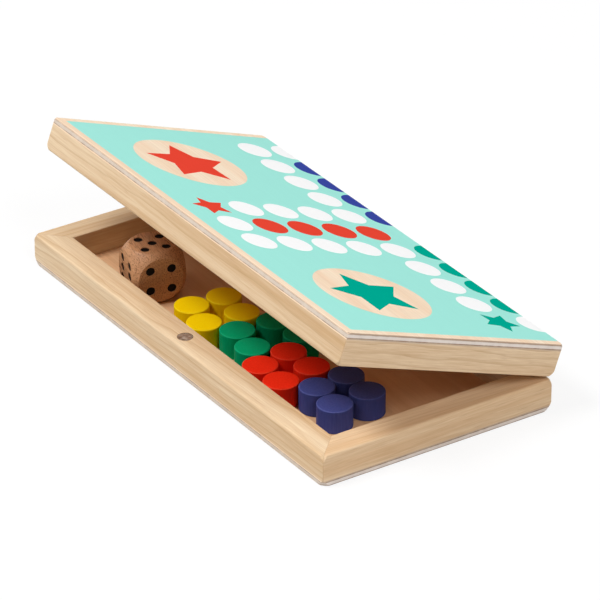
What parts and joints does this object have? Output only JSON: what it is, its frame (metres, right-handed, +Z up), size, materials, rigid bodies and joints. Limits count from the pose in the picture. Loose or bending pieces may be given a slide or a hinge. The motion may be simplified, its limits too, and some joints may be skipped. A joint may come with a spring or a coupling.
{
  "type": "folding board game box",
  "caption": "Folding wooden ludo box: two hinged framed halves with a printed board on the outside, magnets at the front, and loose pawns and a die inside.",
  "frame": {"origin": "centre of the tray's flat base", "axes": "+X along the hinge, +Y from the front to the hinge, +Z up; the lid is stored standing open as in the picture"},
  "size_m": [0.2, 0.1046, 0.06],
  "materials": {
    "pine": "sanded bare softwood, long grain along each rail",
    "plywood": "thin three-layer plywood, sanded, pale face veneer",
    "print_turquoise": "flat matt screen print, pale turquoise",
    "print_white": "flat matt screen print, white",
    "print_red": "flat matt screen print, red",
    "print_green": "flat matt screen print, green",
    "print_blue": "flat matt screen print, blue",
    "print_yellow": "flat matt screen print, yellow",
    "nickel": "nickel-plated magnet face",
    "brass": "bright stamped brass",
    "steel": "drawn steel pin",
    "pawn_yellow": "turned wood, smooth satin paint",
    "pawn_green": "turned wood, smooth satin paint",
    "pawn_red": "turned wood, smooth satin paint",
    "pawn_blue": "turned wood, smooth satin paint",
    "die_wood": "stained brown wood, sanded, open grain",
    "pip_paint": "black paint in drilled dimples"
  },
  "bodies": {
    "tray": {"tray_panel": "plywood", "tray_front_rail": "pine", "tray_back_rail": "pine", "tray_left_rail": "pine", "tray_right_rail": "pine", "tray_magnet": "nickel", "tray_hinge_screws": "brass", "left_hinge_tray_leaf": "brass", "left_hinge_pin": "steel", "right_hinge_tray_leaf": "brass", "right_hinge_pin": "steel", "tray_print_ground": "print_turquoise", "tray_print_white": "print_white", "tray_print_yellow": "print_yellow", "tray_print_green": "print_green", "tray_print_blue": "print_blue"},
    "lid": {"lid_panel": "plywood", "lid_front_rail": "pine", "lid_back_rail": "pine", "lid_left_rail": "pine", "lid_right_rail": "pine", "lid_magnet": "nickel", "lid_hinge_screws": "brass", "left_hinge_lid_leaf": "brass", "right_hinge_lid_leaf": "brass", "lid_print_ground": "print_turquoise", "lid_print_white": "print_white", "lid_print_red": "print_red", "lid_print_green": "print_green", "lid_print_blue": "print_blue"},
    "yellow_pawn_1": {"yellow_pawn_1": "pawn_yellow"},
    "yellow_pawn_2": {"yellow_pawn_2": "pawn_yellow"},
    "yellow_pawn_3": {"yellow_pawn_3": "pawn_yellow"},
    "yellow_pawn_4": {"yellow_pawn_4": "pawn_yellow"},
    "green_pawn_1": {"green_pawn_1": "pawn_green"},
    "green_pawn_2": {"green_pawn_2": "pawn_green"},
    "green_pawn_3": {"green_pawn_3": "pawn_green"},
    "green_pawn_4": {"green_pawn_4": "pawn_green"},
    "red_pawn_1": {"red_pawn_1": "pawn_red"},
    "red_pawn_2": {"red_pawn_2": "pawn_red"},
    "red_pawn_3": {"red_pawn_3": "pawn_red"},
    "red_pawn_4": {"red_pawn_4": "pawn_red"},
    "blue_pawn_1": {"blue_pawn_1": "pawn_blue"},
    "blue_pawn_2": {"blue_pawn_2": "pawn_blue"},
    "blue_pawn_3": {"blue_pawn_3": "pawn_blue"},
    "blue_pawn_4": {"blue_pawn_4": "pawn_blue"},
    "die": {"die": "die_wood", "die_pips": "pip_paint"}
  },
  "joints": [
    {"name": "lid_hinge", "type": "hinge", "parent": "tray", "child": "lid", "pos_m": [0, 0.0503, 0.0133], "axis": [-1, 0, 0], "range_deg": [-20, 160]},
    {"name": "yellow_pawn_1_lift", "type": "slide", "parent": "tray", "child": "yellow_pawn_1", "axis": [0, 0, 1], "range_m": [0, 0.0106]},
    {"name": "yellow_pawn_2_lift", "type": "slide", "parent": "tray", "child": "yellow_pawn_2", "axis": [0, 0, 1], "range_m": [0, 0.0106]},
    {"name": "yellow_pawn_3_lift", "type": "slide", "parent": "tray", "child": "yellow_pawn_3", "axis": [0, 0, 1], "range_m": [0, 0.0106]},
    {"name": "yellow_pawn_4_lift", "type": "slide", "parent": "tray", "child": "yellow_pawn_4", "axis": [0, 0, 1], "range_m": [0, 0.0106]},
    {"name": "green_pawn_1_lift", "type": "slide", "parent": "tray", "child": "green_pawn_1", "axis": [0, 0, 1], "range_m": [0, 0.0106]},
    {"name": "green_pawn_2_lift", "type": "slide", "parent": "tray", "child": "green_pawn_2", "axis": [0, 0, 1], "range_m": [0, 0.0106]},
    {"name": "green_pawn_3_lift", "type": "slide", "parent": "tray", "child": "green_pawn_3", "axis": [0, 0, 1], "range_m": [0, 0.0106]},
    {"name": "green_pawn_4_lift", "type": "slide", "parent": "tray", "child": "green_pawn_4", "axis": [0, 0, 1], "range_m": [0, 0.0106]},
    {"name": "red_pawn_1_lift", "type": "slide", "parent": "tray", "child": "red_pawn_1", "axis": [0, 0, 1], "range_m": [0, 0.0106]},
    {"name": "red_pawn_2_lift", "type": "slide", "parent": "tray", "child": "red_pawn_2", "axis": [0, 0, 1], "range_m": [0, 0.0106]},
    {"name": "red_pawn_3_lift", "type": "slide", "parent": "tray", "child": "red_pawn_3", "axis": [0, 0, 1], "range_m": [0, 0.0106]},
    {"name": "red_pawn_4_lift", "type": "slide", "parent": "tray", "child": "red_pawn_4", "axis": [0, 0, 1], "range_m": [0, 0.0106]},
    {"name": "blue_pawn_1_lift", "type": "slide", "parent": "tray", "child": "blue_pawn_1", "axis": [0, 0, 1], "range_m": [0, 0.0106]},
    {"name": "blue_pawn_2_lift", "type": "slide", "parent": "tray", "child": "blue_pawn_2", "axis": [0, 0, 1], "range_m": [0, 0.0106]},
    {"name": "blue_pawn_3_lift", "type": "slide", "parent": "tray", "child": "blue_pawn_3", "axis": [0, 0, 1], "range_m": [0, 0.0106]},
    {"name": "blue_pawn_4_lift", "type": "slide", "parent": "tray", "child": "blue_pawn_4", "axis": [0, 0, 1], "range_m": [0, 0.0106]},
    {"name": "die_slide", "type": "slide", "parent": "tray", "child": "die", "axis": [0, 1, 0], "range_m": [0, 0.05]}
  ]
}
